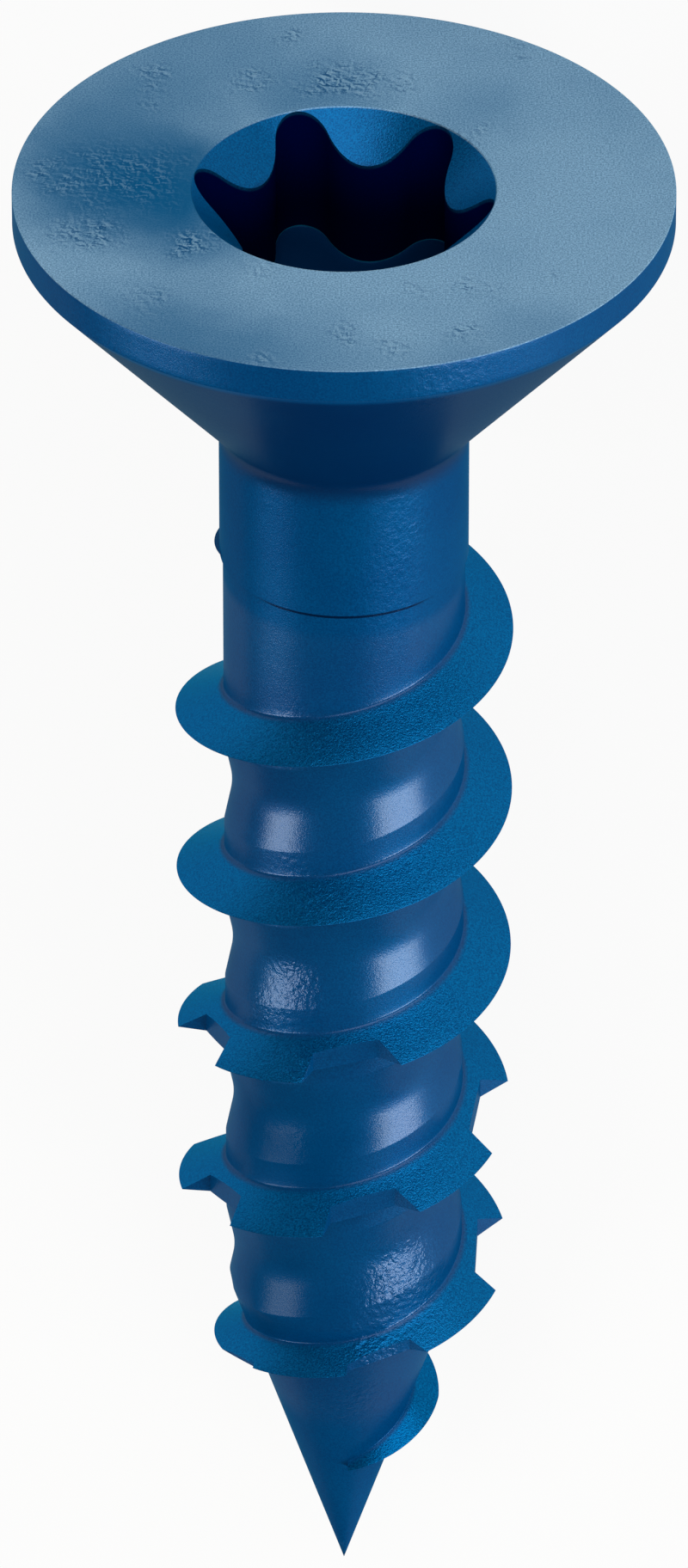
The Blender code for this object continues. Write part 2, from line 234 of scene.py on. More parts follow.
def outer_profile():
    """Radius and height down the outside of the head and neck."""
    turn = HEAD_CONE_HALF_ANGLE
    corner = -RIM_HEIGHT - (HEAD_RADIUS - NECK_RADIUS) / math.tan(turn)
    centre_height = corner - NECK_FILLET_RADIUS * math.tan(turn / 2)
    top, rim = Vector((HEAD_RADIUS, 0)), Vector((HEAD_RADIUS, -RIM_HEIGHT))
    cone_foot = Vector((NECK_RADIUS, corner))
    points = rounded(Vector((0, 0)), top, rim, RIM_ROUND, 5)
    points += [Vector((HEAD_RADIUS, height)) for height in blend(0, -RIM_HEIGHT, 5)]
    points += rounded(top, rim, cone_foot, RIM_ROUND, 3)
    for share in blend(0, 0.86, 14):
        points.append(rim.lerp(cone_foot, share))
    for step in range(13):
        angle = turn * (1 - step / 12)
        radius = NECK_RADIUS + NECK_FILLET_RADIUS * (1 - math.cos(angle))
        points.append(Vector((radius, centre_height + NECK_FILLET_RADIUS * math.sin(angle))))
    foot = points[-1].y
    points += [Vector((NECK_RADIUS, height)) for height in blend(foot, -NECK_DEPTH, 9)]
    points.append(Vector((NECK_RADIUS, -NECK_DEPTH)))
    return points


def head_solid():
    outline = socket_outline()
    outer = outer_profile()
    bm = bmesh.new()
    columns = []
    for edge, angle in outline:
        rows = [(radius, floor_height(radius)) for radius in [edge * share for share in blend(0, 1, 9)]]
        low, high = floor_height(edge), edge - MOUTH_RADIUS
        rows.append((edge - 0.03 * MM, floor_height(edge - 0.03 * MM)))
        rows.append((edge - 0.008 * MM, low + 0.004 * MM))
        rows.append((edge, low + 0.03 * MM))
        rows += [(edge, height) for height in blend(low + 0.03 * MM, high, 12)]
        rows.append((edge, high))
        rows += [(radius, radius - MOUTH_RADIUS) for radius in blend(edge, MOUTH_RADIUS, 6)]
        rows.append((MOUTH_RADIUS, 0))
        rows += [(radius, 0) for radius in blend(MOUTH_RADIUS, outer[0].x, 14)]
        rows += [(point.x, point.y) for point in outer]
        columns.append([bm.verts.new(at(radius, angle, height)) for radius, height in rows])
    middle = bm.verts.new((0, 0, floor_height(0)))
    for index, column in enumerate(columns):
        after = columns[(index + 1) % len(columns)]
        bm.faces.new((middle, column[0], after[0]))
        for row in range(len(column) - 1):
            bm.faces.new((column[row], column[row + 1], after[row + 1], after[row]))
    bm.faces.new([column[-1] for column in columns])
    bmesh.ops.recalc_face_normals(bm, faces=bm.faces[:])
    return object_from(bm, "skin_head")


# The core, thread and groove: lines of points at one angle, joined along the thread.
def tip_radius(height):
    return (height + SCREW_LENGTH) * math.tan(TIP_HALF_ANGLE)


def upper_root(angle):
    crest = crest_radius(angle)
    flank, taper = math.tan(UPPER_FLANK_ANGLE), math.tan(TIP_HALF_ANGLE)
    on_tip = tip_radius(crest_height(angle) + crest * flank) / (1 + flank * taper)
    return crest_height(angle) + (crest - min(CORE_RADIUS, on_tip)) * flank


def lower_root(angle):
    crest = crest_radius(angle)
    flank, taper = math.tan(LOWER_FLANK_ANGLE), math.tan(TIP_HALF_ANGLE)
    on_tip = tip_radius(crest_height(angle) - crest * flank) / (1 - flank * taper)
    return crest_height(angle) - (crest - min(CORE_RADIUS, on_tip)) * flank


def groove_rows(angle):
    """Radius and height down the core between two flanges, from above the groove to below it."""
    middle = (GROOVE_LOW_EDGE + GROOVE_HIGH_EDGE) / 2
    half_width = (GROOVE_HIGH_EDGE - GROOVE_LOW_EDGE) / 2
    sharp_depth = half_width * math.tan(GROOVE_SLOPE)
    centre = CORE_RADIUS - sharp_depth + GROOVE_BOTTOM_RADIUS / math.cos(GROOVE_SLOPE)
    share = min(1, max(0, (GROOVE_START - angle) / (GROOVE_START - GROOVE_FULL)))
    base = crest_height(angle) + middle

    def on_slope(side, inward):
        return (CORE_RADIUS - share * inward * math.tan(GROOVE_SLOPE), base + side * (half_width - inward))

    rows = [(CORE_RADIUS, base + half_width + 2 * CREASE), on_slope(1, 0), on_slope(1, 2 * CREASE)]
    for step in range(GROOVE_STEPS + 1):
        turn = GROOVE_SLOPE * (1 - 2 * step / GROOVE_STEPS)
        depth = CORE_RADIUS - centre + GROOVE_BOTTOM_RADIUS * math.cos(turn)
        rows.append((CORE_RADIUS - share * depth, base + GROOVE_BOTTOM_RADIUS * math.sin(turn)))
    foot = half_width - GROOVE_BOTTOM_RADIUS * math.sin(GROOVE_SLOPE)
    rows += [on_slope(-1, inward) for inward in (foot / 2, CREASE, 0)]
    rows.append((CORE_RADIUS, base - half_width - CREASE))
    return rows


def flank_rows(angle):
    """Points out along the upper flank, round the crest and back along the lower flank."""
    crest = Vector((crest_radius(angle), crest_height(angle)))
    upper_height, lower_height = upper_root(angle), lower_root(angle)
    upper = Vector((min(CORE_RADIUS, tip_radius(upper_height)), upper_height))
    lower = Vector((min(CORE_RADIUS, tip_radius(lower_height)), lower_height))
    size = min(1, (crest.x - lower.x) / (6 * ROOT_ROUND))
    rise = 1 if upper_height > CORE_RADIUS / math.tan(TIP_HALF_ANGLE) - SCREW_LENGTH else math.cos(TIP_HALF_ANGLE)
    lean = math.sqrt(max(0, 1 - rise * rise))
    above = upper + Vector((lean, rise))
    root = rounded(above, upper, crest, ROOT_ROUND * size, 4)
    edge = rounded(upper, crest, lower, CREST_ROUND * size, 5)
    rows = root + [root[-1].lerp(edge[0], share) for share in blend(0, 1, 4)]
    rows += edge + [edge[-1].lerp(lower, share) for share in blend(0, 1, 3)]
    return rows + [lower]


def line_of(bm, angle, rows):
    return [bm.verts.new(at(radius, angle, height)) for radius, height in rows]


def quads(bm, left, right):
    for row in range(len(left) - 1):
        bm.faces.new((left[row], left[row + 1], right[row + 1], right[row]))


def zip_lines(bm, left, right):
    """Triangles between two lines of points that run down, of unlike counts."""
    a, b = 0, 0
    while a < len(left) - 1 or b < len(right) - 1:
        down_left = a < len(left) - 1
        if down_left and b < len(right) - 1:
            down_left = left[a + 1].co.z > right[b + 1].co.z
        third = left[a + 1] if down_left else right[b + 1]
        if third not in (left[a], right[b]) and left[a] != right[b]:
            bm.faces.new((left[a], third, right[b]))
        a, b = (a + 1, b) if down_left else (a, b + 1)


def core_solid():
    step = 2 * math.pi / COLUMNS
    count = math.ceil((RUN_IN_START - THREAD_END) / step)
    angles = [THREAD_END + index * step for index in range(count, -1, -1)]
    end = len(angles) - 1
    bm = bmesh.new()
    top_height = -NECK_DEPTH / 2
    start = bm.verts.new(at(CORE_RADIUS, angles[0], crest_height(angles[0])))
    flanks = [[start]]
    for angle in angles[1:]:
        flanks.append([bm.verts.new(at(point.x, angle, point.y)) for point in flank_rows(angle)])
    tops = [bm.verts.new(at(CORE_RADIUS, angle, top_height)) for angle in angles[:COLUMNS]]
    cores = []
    for index, angle in enumerate(angles):
        over = tops[index] if index < COLUMNS else flanks[index - COLUMNS][-1]
        rows = groove_rows(angle)
        over_height = over.co.z
        lead = [(CORE_RADIUS, height) for height in blend(over_height, rows[0][1], 3)]
        foot = flanks[index][0].co.z
        tail = [(CORE_RADIUS, height) for height in blend(rows[-1][1], foot, 4)]
        held = [(min(radius, tip_radius(height)), height) for radius, height in lead + rows + tail]
        cores.append([over, *line_of(bm, angle, held), flanks[index][0]])

    bm.faces.new(tops)
    for index in range(end):
        if index != COLUMNS - 1:
            quads(bm, cores[index], cores[index + 1])
    zip_lines(bm, cores[COLUMNS - 1], cores[0] + cores[COLUMNS][1:])

    first = flanks[1]
    for a, b in zip(first, first[1:]):
        bm.faces.new((start, a, b))
    for index in range(1, end):
        quads(bm, flanks[index], flanks[index + 1])
    bm.faces.new(flanks[end])

    point = bm.verts.new((0, 0, -SCREW_LENGTH))
    cones = []
    for index in range(end - COLUMNS, end + 1):
        foot = flanks[index][-1].co.z
        heights = blend(foot, -SCREW_LENGTH, 12)
        line = line_of(bm, angles[index], [(tip_radius(height), height) for height in heights])
        cones.append([flanks[index][-1], *line])
    for index in range(1, COLUMNS):
        quads(bm, cones[index], cones[index + 1])
        bm.faces.new((cones[index][-1], point, cones[index + 1][-1]))
    for vertex in cones[0][1:]:
        bm.verts.remove(vertex)
    zip_lines(bm, cores[end] + cones[COLUMNS] + [point], cones[1] + [point])
    bmesh.ops.recalc_face_normals(bm, faces=bm.faces[:])
    return object_from(bm, "skin_core")


def notch_solids():
    bm = bmesh.new()
    leading = NOTCH_LEADING_WIDTH + NOTCH_CUT_HEIGHT * math.tan(NOTCH_LEADING_SLOPE)
    trailing = NOTCH_TRAILING_WIDTH + NOTCH_CUT_HEIGHT * math.tan(NOTCH_TRAILING_SLOPE)
    high = NOTCH_FLOOR_RADIUS + NOTCH_CUT_HEIGHT
    outline = [
        (NOTCH_LEADING_WIDTH, NOTCH_FLOOR_RADIUS),
        (leading, high),
        (-trailing, high),
        (-NOTCH_TRAILING_WIDTH, NOTCH_FLOOR_RADIUS),
    ]
    for index in range(NOTCH_COUNT):
        middle = notch_middle(index)
        outward = at(1, middle, 0)
        along = at(1, middle + math.pi / 2, 0)
        rings = []
        for offset in (-NOTCH_CUT_BELOW, NOTCH_CUT_ABOVE):
            lift = Vector((0, 0, crest_height(middle) + offset))
            rings.append([bm.verts.new(outward * out + along * width + lift) for width, out in outline])
        for side in range(4):
            after = (side + 1) % 4
            bm.faces.new((rings[0][side], rings[0][after], rings[1][after], rings[1][side]))
        bm.faces.new(rings[0])
        bm.faces.new(rings[1])
    bmesh.ops.recalc_face_normals(bm, faces=bm.faces[:])
    return object_from(bm, "skin_notches")


def object_from(bm, name):
    mesh = bpy.data.meshes.new(name)
    bm.to_mesh(mesh)
    bm.free()
    obj = bpy.data.objects.new(name, mesh)
    bpy.context.scene.collection.objects.link(obj)
    return obj


def build_skin():
    """The fine screw as one closed mesh, joined and cut with Booleans, then laid down."""
    skin = head_solid()
    tools = [(core_solid(), "UNION"), (notch_solids(), "DIFFERENCE")]
    for tool, operation in tools:
        modifier = skin.modifiers.new(tool.name, "BOOLEAN")
        modifier.operation = operation
        modifier.solver = "EXACT"
        modifier.object = tool
    graph = bpy.context.evaluated_depsgraph_get()
    mesh = bpy.data.meshes.new_from_object(skin.evaluated_get(graph))
    for obj in [skin] + [tool for tool, _ in tools]:
        bpy.data.objects.remove(obj, do_unlink=True)
    mesh.name = "screw_skin"
    mesh.polygons.foreach_set("use_smooth", [True] * len(mesh.polygons))
    mesh.set_sharp_from_angle(angle=SHARP_ANGLE)
    mesh.transform(POSE)
    obj = bpy.data.objects.new("screw_skin", mesh)
    bpy.context.scene.collection.objects.link(obj)
    return obj


# Materials
class Nodes:
    """Short ways to add and link shader nodes."""

    def __init__(self, name):
        self.material = bpy.data.materials.new(name)
        self.material.use_nodes = True
        self.tree = self.material.node_tree
        self.shader = self.tree.nodes["Principled BSDF"]

    def add(self, kind, **settings):
        node = self.tree.nodes.new(kind)
        for key, value in settings.items():
            setattr(node, key, value)
        return node

    def link(self, source, target):
        self.tree.links.new(source, target)

    def put(self, socket, value):
        if isinstance(value, bpy.types.NodeSocket):
            self.link(value, socket)
        else:
            socket.default_value = value

    def math(self, operation, a, b=0.0):
        node = self.add("ShaderNodeMath", operation=operation)
        self.put(node.inputs[0], a)
        self.put(node.inputs[1], b)
        return node.outputs[0]

    def noise(self, vector, scale, detail=2.0, rough=0.5, distortion=0.0):
        node = self.add("ShaderNodeTexNoise")
        self.link(vector, node.inputs["Vector"])
        for key, value in (("Scale", scale), ("Detail", detail), ("Roughness", rough), ("Distortion", distortion)):
            node.inputs[key].default_value = value
        return node.outputs["Fac"]

    def times(self, first, *others):
        for other in others:
            first = self.math("MULTIPLY", first, other)
        return first

    def ramp(self, value, low, high, to_low=0.0, to_high=1.0):
        node = self.add("ShaderNodeMapRange", interpolation_type="SMOOTHSTEP")
        self.put(node.inputs["Value"], value)
        node.inputs["From Min"].default_value = low
        node.inputs["From Max"].default_value = high
        node.inputs["To Min"].default_value = to_low
        node.inputs["To Max"].default_value = to_high
        return node.outputs["Result"]

    def mix(self, share, a, b):
        node = self.add("ShaderNodeMix", data_type="RGBA")
        factor, color_a, color_b = (node.inputs[index] for index in (0, 6, 7))
        self.put(factor, share)
        self.put(color_a, a)
        self.put(color_b, b)
        return node.outputs[2]

    def bump(self, height, distance, strength=1.0, normal=None):
        node = self.add("ShaderNodeBump")
        self.put(node.inputs["Height"], height)
        self.put(node.inputs["Strength"], strength)
        node.inputs["Distance"].default_value = distance
        if normal is not None:
            self.link(normal, node.inputs["Normal"])
        return node.outputs["Normal"]


# Places in millimetres in the screw's frame, each with its reach and strength.
# Where the painted sheen on top of the head, a pale colour standing in for reflected light, is missing.
SHEEN_GAPS = (
    ((-3.9, 0.0, 0), 3.5, 0.95),
    ((-5.6, 0.2, 0), 3.4, 0.68),
    ((-5.4, 2.4, 0), 3.6, 0.55),
    ((-3.1, -2.3, 0), 2.0, 0.50),
    ((2.9, 3.1, 0), 2.2, 0.25),
    ((-1.0, -7.4, 0), 3.2, 0.36),
    ((4.6, -6.0, 0), 2.0, 0.28),
    ((-3.2, 5.4, 0), 4.8, 0.35),
    ((-0.4, 4.0, 0), 2.2, 0.45),
    ((-4.2, -6.6, 0), 3.8, 0.66),
    ((2.8, -8.0, 0), 2.6, 0.35),
    ((6.4, 4.4, 0), 2.4, 0.12),
)
# Where the top of the head is pitted.
HEAD_CLUSTERS = (
    ((-0.45, 4.59, 0), 1.10, 1.0),
    ((0.59, 4.48, 0), 0.90, 0.9),
    ((1.30, 4.56, 0), 0.70, 0.8),
    ((-2.04, 4.67, 0), 0.75, 0.9),
    ((-1.40, 6.44, 0), 0.60, 0.7),
    ((-4.42, 4.78, 0), 0.80, 0.6),
    ((-4.33, 3.86, 0), 0.60, 0.7),
    ((-2.57, 3.94, 0), 0.55, 0.5),
    ((-5.10, 0.60, 0), 2.30, 0.55),
    ((-5.64, -1.73, 0), 1.10, 1.0),
    ((-6.60, 0.67, 0), 0.90, 0.7),
    ((-6.33, -2.25, 0), 0.60, 0.6),
    ((-3.35, -2.15, 0), 1.10, 1.0),
    ((4.00, 6.07, 0), 0.70, 0.5),
    ((3.10, 2.30, 0), 0.70, 0.7),
    ((6.02, 1.75, 0), 0.60, 0.6),
    ((3.05, -4.17, 0), 0.85, 0.8),
    ((1.57, -4.27, 0), 0.65, 0.6),
    ((4.62, -3.43, 0), 0.55, 0.5),
    ((2.70, -6.09, 0), 0.75, 0.8),
    ((1.09, -6.58, 0), 0.75, 0.9),
    ((0.08, -5.92, 0), 0.70, 0.8),
    ((-4.32, -4.70, 0), 1.20, 0.5),
    ((-1.90, -3.40, 0), 0.75, 0.6),
    ((-1.75, -7.00, 0), 0.65, 0.5),
)
# Where the lacquer dried lumpy.
ORANGE_PEEL = (
    ((1.45, -2.50, -7.4), 2.0, 0.34),
    ((1.20, -2.60, -9.4), 2.0, 0.24),
    ((-1.10, -2.47, -20.4), 1.3, 1.0),
    ((-1.80, -2.10, -21.5), 0.9, 0.8),
    ((-1.10, -2.46, -24.7), 0.9, 0.4),
    ((1.30, -2.35, -29.0), 2.1, 1.4),
    ((0.70, -3.05, -30.7), 1.1, 1.2),
    ((-1.20, -3.10, -13.3), 1.5, 0.7),
    ((-1.00, -3.15, -17.4), 1.3, 0.7),
    ((-1.20, -3.40, -22.0), 0.9, 0.9),
    ((-0.80, -3.50, -25.6), 0.9, 0.8),
    ((0.60, -1.60, -33.0), 1.6, 0.5),
    ((2.10, -7.20, -0.4), 1.5, 0.3),
    ((-2.00, 1.90, -7.5), 2.0, 0.9),
    ((1.50, 2.30, -19.0), 1.6, 0.9),
    ((2.60, 0.40, -24.0), 1.4, 0.8),
)
# Where the gloss of the lacquer is weak; there the colour is also darkened as painted shade, to take the lamps'
# highlight down.
DULL_AND_SHADED_SPOTS = (
    ((-1.2, -2.2, -25.1), 2.6, 0.90),
    ((-1.2, -2.2, -29.7), 2.4, 0.70),
)

# Where one kind of surface gives way to the next, as heights in millimetres from below to above.
TOP_EDGE = (-0.035, -0.012)
RIM_FOOT = (-1.1, -0.85)
CONE_FOOT = (-6.9, -6.2)
# Painted shadow below the step at the foot of the neck, between these heights.
NECK_SHADOW_TOP = (-9.755, -9.740)
NECK_SHADOW_FOOT = (-9.875, -9.855)
THREAD_TOP = (-10.6, -10.2)
TIP_TOP = (-34.2, -33.2)
SOCKET_FOOT = (-5.2, -4.9)
# Painted shade in the socket, darker towards its bottom between these heights.
SOCKET_SHADE_FADE = (-2.6, -0.4)
# The same across the screw, in millimetres.
MOUTH_EDGE = (3.455, 3.475)
MOUTH_SLOPE_FOOT = (3.50, 3.58)
# Across the screw, where the painted shadow under the neck's step fades out towards the back.
NECK_SHADOW_BACK = (-2.35, -1.90)
FLANK_RISE = (0.02, 0.17)
# How far along the axis a face of the thread has to look to be a flank.
FLANK_FACING = (0.50, 0.70)
# Heights in millimetres over the socket's floor, whose cone has its point at SOCKET_POINT.
SOCKET_POINT = -4.756
# Where the painted highlight along the foot of the socket's walls lies.
FOOT_HIGHLIGHT = (0.02, 0.04)
FLOOR_EDGE = (0.006, 0.018)
# The share of the thread flanks' look that the slope at the socket's mouth has.
MOUTH_SHARE = 0.65

# Colours. Those in pairs are for the dark and the light grains.
DEEP = (0.0, 0.029, 0.122, 1), (0.0, 0.043, 0.160, 1)
BRIGHT = (0.0, 0.058, 0.178, 1), (0.0, 0.080, 0.232, 1)
SANDY = (0.0, 0.074, 0.220, 1), (0.0, 0.146, 0.375, 1)
# Painted sheen: the pale colour of the head's top stands in for reflected light, in dark and light grains.
TOP_SHEEN = (0.118, 0.235, 0.368, 1), (0.285, 0.475, 0.665, 1)
TOP_WITHOUT_SHEEN = (0.0, 0.090, 0.230, 1)
# Painted shade and painted highlight on the two sides of the pitted spots, as under light from one side.
PIT_SHADE = (0.0, 0.060, 0.180, 1)
GLINT = (0.36, 0.55, 0.70, 1)
# Painted shade: a darker blue where the lamps' highlight is to look weak.
DULL_SHADE = (0.0, 0.030, 0.100, 1)
# Painted shade under the head: the cone's colour darkened.
UNDER_HEAD_SHADE = (0.0, 0.010, 0.055, 1)
# Painted shadow under the step at the foot of the neck.
NECK_STEP_SHADOW = (0.0, 0.004, 0.025, 1)
# Painted shade in the socket: near black deep down, a little lighter higher up.
SOCKET_SHADE_DEEP, SOCKET_SHADE_HIGH = (0.0, 0.001, 0.014, 1), (0.0, 0.003, 0.062, 1)
# Painted highlight: a thin lighter line along the foot of the socket's walls.
SOCKET_FOOT_HIGHLIGHT = (0.0, 0.070, 0.140, 1)
# Painted shade on the socket's floor, a little lighter than its walls.
SOCKET_FLOOR_SHADE = (0.0, 0.014, 0.052, 1)

# Coat weights, before the weaker surfaces take their share.
GROOVE_GLOSS = 0.064
NECK_GLOSS = 0.020
HEAD_GLOSS_MORE = 0.036

# Scale, detail, roughness and distortion of the noise that the pits come from.
SPECK_NOISE = (6.0, 3.0, 0.60, 0.6)

# Depths of the relief.
GRAIN_DEPTH = 0.014 * MM
LUMP_DEPTH = 0.040 * MM
PIT_DEPTH = 0.045 * MM


def spots(n, place, listed):
    """Soft spots put together: near 1 in the middle of a strong one, 0 outside them all."""
    clear = None
    for spot, reach, strength in listed:
        away = n.add("ShaderNodeVectorMath", operation="DISTANCE")
        n.link(place, away.inputs[0])
        away.inputs[1].default_value = spot
        left = n.ramp(away.outputs["Value"], 0.15 * reach, reach, 1.0 - min(strength, 1.0), 1.0)
        clear = left if clear is None else n.math("MULTIPLY", clear, left)
    return n.math("SUBTRACT", 1.0, clear)


def wander(n, place):
    """Coordinates that drift a little, to keep the spots from being round."""
    drift = n.add("ShaderNodeTexNoise")
    n.link(place, drift.inputs["Vector"])
    drift.inputs["Scale"].default_value = 0.7
    drift.inputs["Detail"].default_value = 3.0
    centred = n.add("ShaderNodeVectorMath", operation="SUBTRACT")
    n.link(drift.outputs["Color"], centred.inputs[0])
    centred.inputs[1].default_value = (0.5, 0.5, 0.5)
    shift = n.add("ShaderNodeVectorMath", operation="SCALE")
    n.link(centred.outputs[0], shift.inputs[0])
    shift.inputs["Scale"].default_value = 1.6
    moved = n.add("ShaderNodeVectorMath", operation="ADD")
    n.link(place, moved.inputs[0])
    n.link(shift.outputs[0], moved.inputs[1])
    return moved.outputs[0]


class Surfaces:
    """Places in the screw's frame in millimetres, and masks that are 1 on one kind of surface and 0 elsewhere."""

    def __init__(self, n):
        source = n.add("ShaderNodeTexCoord")
        undone = n.add("ShaderNodeMapping", vector_type="TEXTURE")
        n.link(source.outputs["Object"], undone.inputs["Vector"])
        undone.inputs["Location"].default_value = POSE.to_translation()
        undone.inputs["Rotation"].default_value = POSE.to_euler()
        undone.inputs["Scale"].default_value = (MM, MM, MM)
        self.place = undone.outputs["Vector"]
        self.loose = wander(n, self.place)
        split = n.add("ShaderNodeSeparateXYZ")
        n.link(self.place, split.inputs[0])
        self.height = height = split.outputs["Z"]
        flat = n.add("ShaderNodeCombineXYZ")
        n.link(split.outputs["X"], flat.inputs["X"])
        n.link(split.outputs["Y"], flat.inputs["Y"])
        distance = n.add("ShaderNodeVectorMath", operation="LENGTH")
        n.link(flat.outputs[0], distance.inputs[0])
        radius = distance.outputs["Value"]

        self.top = n.ramp(height, *TOP_EDGE)
        # The whole socket, the part of it below the slope at its mouth, and how far a place is above its floor.
        mouth = n.times(n.ramp(radius, *MOUTH_EDGE, 1.0, 0.0), n.ramp(height, *SOCKET_FOOT))
        self.sunk = n.times(mouth, n.ramp(n.math("SUBTRACT", radius, height), *MOUTH_SLOPE_FOOT))
        cone = n.times(radius, math.tan(SOCKET_FLOOR_SLOPE))
        self.lift = n.math("SUBTRACT", n.math("SUBTRACT", height, cone), SOCKET_POINT)

        # The flanks of the thread, and with a smaller share the slope at the socket's mouth.
        cone = n.times(n.math("ADD", height, SCREW_LENGTH / MM), math.tan(TIP_HALF_ANGLE))
        rise = n.math("SUBTRACT", radius, n.math("MINIMUM", cone, CORE_RADIUS / MM))
        facing = n.add("ShaderNodeVectorMath", operation="DOT_PRODUCT")
        n.link(source.outputs["Normal"], facing.inputs[0])
        facing.inputs[1].default_value = POSE.to_3x3().col[2]
        facing = n.ramp(n.math("ABSOLUTE", facing.outputs["Value"]), *FLANK_FACING)
        flank = n.times(n.ramp(rise, *FLANK_RISE), n.ramp(height, *THREAD_TOP, 1.0, 0.0), facing)
        self.flank = n.math("MAXIMUM", flank, n.times(n.math("SUBTRACT", mouth, self.sunk), MOUTH_SHARE))

        # Painted shade: the cone under the head, from the rim's foot to the cone's foot.
        self.under = n.times(n.ramp(height, *RIM_FOOT, 1.0, 0.0), n.ramp(height, *CONE_FOOT))
        # Painted shadow: a thin dark band just below the step at the neck's foot, on the front.
        self.neck_step_shadow = n.times(
            n.ramp(height, *NECK_SHADOW_FOOT),
            n.ramp(height, *NECK_SHADOW_TOP, 1.0, 0.0),
            n.ramp(split.outputs["Y"], *NECK_SHADOW_BACK, 1.0, 0.0),
        )
        broken = n.ramp(n.noise(self.place, 1.5, 2.0, 0.6), 0.36, 0.62, 0.25, 1.0)
        self.pitted = n.times(spots(n, self.loose, HEAD_CLUSTERS), self.top, broken)
        # Spots of weak gloss, which also carry painted shade in the colour.
        self.dull_and_shaded = spots(n, self.loose, DULL_AND_SHADED_SPOTS)


def body_color(n, on, cloud, fleck):
    body = n.mix(cloud, n.mix(fleck, *DEEP), n.mix(fleck, *BRIGHT))
    # Painted shade: darker colour in the spots of weak gloss, to take the lamps' highlight down.
    body = n.mix(n.times(on.dull_and_shaded, 0.6), body, DULL_SHADE)
    body = n.mix(on.flank, body, n.mix(fleck, *SANDY))
    # Painted shade on the cone under the head.
    body = n.mix(n.times(on.under, 0.75), body, UNDER_HEAD_SHADE)
    # Painted shadow below the neck's step.
    return n.mix(n.times(on.neck_step_shadow, 0.85), body, NECK_STEP_SHADOW)


def top_color(n, on, cloud, fleck, specks):
    """Painted sheen: a pale colour standing in for light reflected off the top, missing in places, with pitted
    spots whose two sides carry painted shade and painted highlight as under light from one side.
    """
    # Painted sheen on the top, left out in the listed spots.
    sheen = n.math("SUBTRACT", 1.0, spots(n, on.loose, SHEEN_GAPS))
    sheen = n.times(sheen, n.ramp(cloud, 0.25, 0.60, 0.86, 1.0))
    beside = n.add("ShaderNodeVectorMath", operation="ADD")
    n.link(on.place, beside.inputs[0])
    beside.inputs[1].default_value = (-0.04, -0.04, 0.0)
    # Painted shade and painted highlight: two shifted noises darken one side of each pitted spot and lighten the
    # other.
    slant = n.math("SUBTRACT", specks, n.noise(beside.outputs[0], *SPECK_NOISE))
    pit_shade = n.times(n.ramp(slant, 0.005, 0.090), on.pitted)
    glints = n.times(n.ramp(slant, -0.090, -0.005, 1.0, 0.0), on.pitted)
    # Painted sheen over the top's own blue.
    pale = n.mix(sheen, TOP_WITHOUT_SHEEN, n.mix(fleck, *TOP_SHEEN))
    pale = n.mix(n.times(pit_shade, 0.9), pale, PIT_SHADE)
    return n.mix(n.times(glints, 0.45), pale, GLINT)


def socket_shade_color(n, on):
    # Painted shade: the socket is darkened, most towards its bottom, a little lighter on its floor.
    dark = n.mix(n.ramp(on.height, *SOCKET_SHADE_FADE), SOCKET_SHADE_DEEP, SOCKET_SHADE_HIGH)
    # Painted highlight along the foot of the socket's walls.
    dark = n.mix(n.ramp(on.lift, *FOOT_HIGHLIGHT, 1.0, 0.0), dark, SOCKET_FOOT_HIGHLIGHT)
    return n.mix(n.ramp(on.lift, *FLOOR_EDGE, 1.0, 0.0), dark, SOCKET_FLOOR_SHADE)


def gloss_weight(n, on):
    """Strongest in the grooves of the thread, weak on its flanks, on the top and in the socket."""
    gloss = n.ramp(on.height, *THREAD_TOP, GROOVE_GLOSS, NECK_GLOSS)
    gloss = n.times(gloss, n.ramp(on.height, *TIP_TOP, 0.3, 1.0))
    gloss = n.math("ADD", gloss, n.ramp(on.height, *CONE_FOOT, 0.0, HEAD_GLOSS_MORE))
    return n.times(
        gloss,
        n.ramp(on.height, *RIM_FOOT, 1.0, 0.6),
        n.ramp(on.flank, 0.0, 1.0, 1.0, 0.20),
        n.ramp(on.top, 0.0, 1.0, 1.0, 0.22),
        n.ramp(on.sunk, 0.0, 1.0, 1.0, 0.08),
        n.math("SUBTRACT", 1.0, on.dull_and_shaded),
    )


def surface_relief(n, on, grain, specks):
    lumps = n.noise(on.place, 6.5, 2.0, 0.55, 0.2)
    clusters = n.ramp(n.noise(on.place, 0.50, 2.0, 0.5), 0.50, 0.66)
    peel = n.math("ADD", spots(n, on.loose, ORANGE_PEEL), n.times(clusters, 0.12))
    peel = n.math("ADD", peel, n.times(on.pitted, 0.8))
    grainy = n.ramp(n.math("ADD", on.top, on.flank), 0.0, 1.0, 0.3, 0.7)
    relief = n.bump(grain, GRAIN_DEPTH, grainy)
    relief = n.bump(n.times(lumps, peel), LUMP_DEPTH, 1.0, relief)
    return n.bump(n.times(specks, on.pitted, -1.0), PIT_DEPTH, 1.0, relief)


